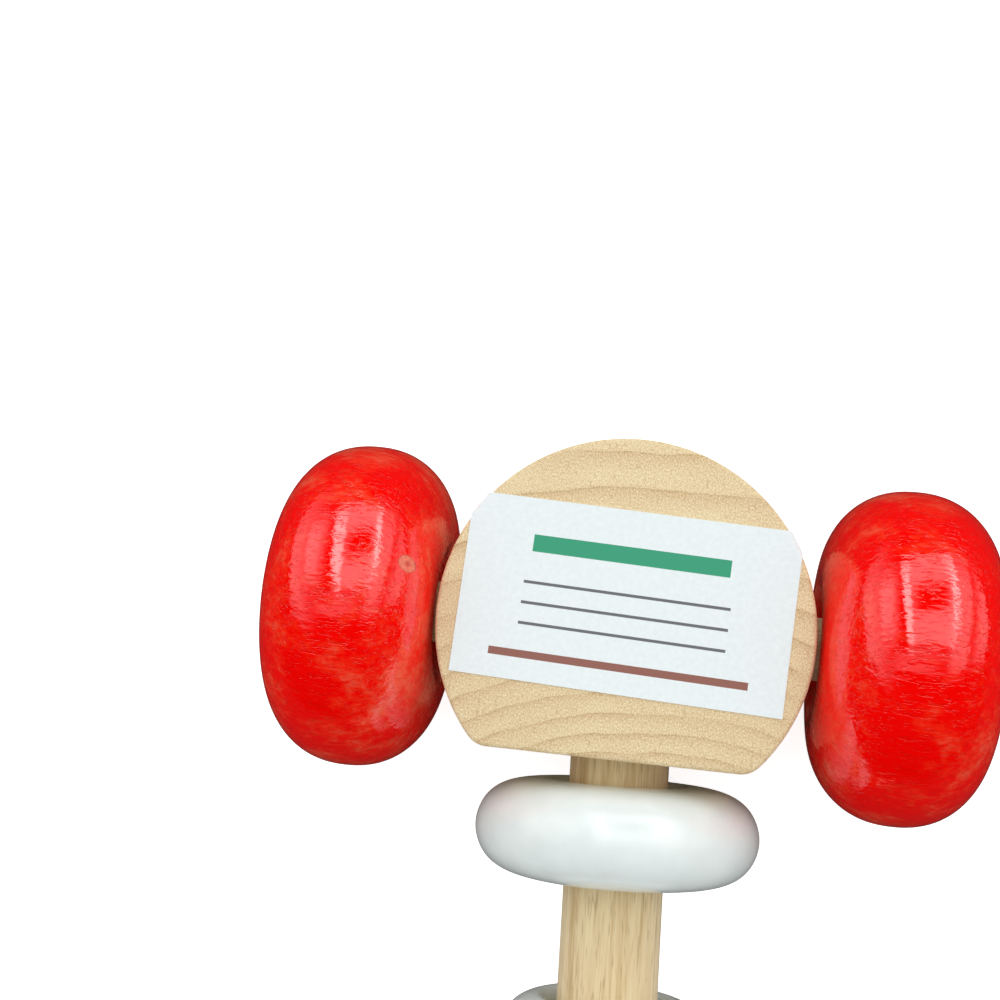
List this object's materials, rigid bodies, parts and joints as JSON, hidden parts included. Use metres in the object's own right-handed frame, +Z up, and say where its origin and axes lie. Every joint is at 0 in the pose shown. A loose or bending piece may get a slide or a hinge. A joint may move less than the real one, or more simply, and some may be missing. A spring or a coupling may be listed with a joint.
{
  "type": "push-along stick toy",
  "caption": "Push-along stick toy: round wooden head between two fat red wheels, loose white rings that rattle on a long stick, and a ball to hold.",
  "frame": {"origin": "middle of the toy's outline on the ground that its wheels and ball lie on", "axes": "+X along the axle to the right wheel, +Y towards the head and square to the axle, +Z up, out of the labelled face"},
  "size_m": [0.0868, 0.5416, 0.04],
  "materials": {
    "beech_block": "bare sanded beech",
    "beech_dowel": "bare sanded beech dowel",
    "pin_wood": "bare wood, cut flush",
    "red_lacquer": "gloss red lacquer on turned wood",
    "white_paint": "gloss cool white paint on turned wood",
    "label_paper": "smooth white label paper"
  },
  "bodies": {
    "stick_and_head": {"head_block": "beech_block", "label": "label_paper", "stick": "beech_dowel", "stick_pin": "pin_wood", "stop_bead": "red_lacquer", "stop_pin": "pin_wood", "handle_ball": "red_lacquer"},
    "wheelset": {"axle": "beech_dowel", "left_wheel": "red_lacquer", "right_wheel": "red_lacquer", "left_wheel_pin": "pin_wood", "right_wheel_pin": "pin_wood"},
    "upper_ring": {"large_ring": "white_paint"},
    "lower_ring": {"small_ring": "white_paint"}
  },
  "joints": [
    {"name": "wheel_spin", "type": "hinge", "parent": "stick_and_head", "child": "wheelset", "pos_m": [0, 0.24882, 0.02], "axis": [1, 0, 0], "continuous": true},
    {"name": "large_ring_slide", "type": "slide", "parent": "stick_and_head", "child": "upper_ring", "axis": [-0.0384, 0.9993, 0], "range_m": [-0.0068, 0.0025]},
    {"name": "small_ring_slide", "type": "slide", "parent": "stick_and_head", "child": "lower_ring", "axis": [-0.0384, 0.9993, 0], "range_m": [-0.0159, 0.0068]}
  ]
}
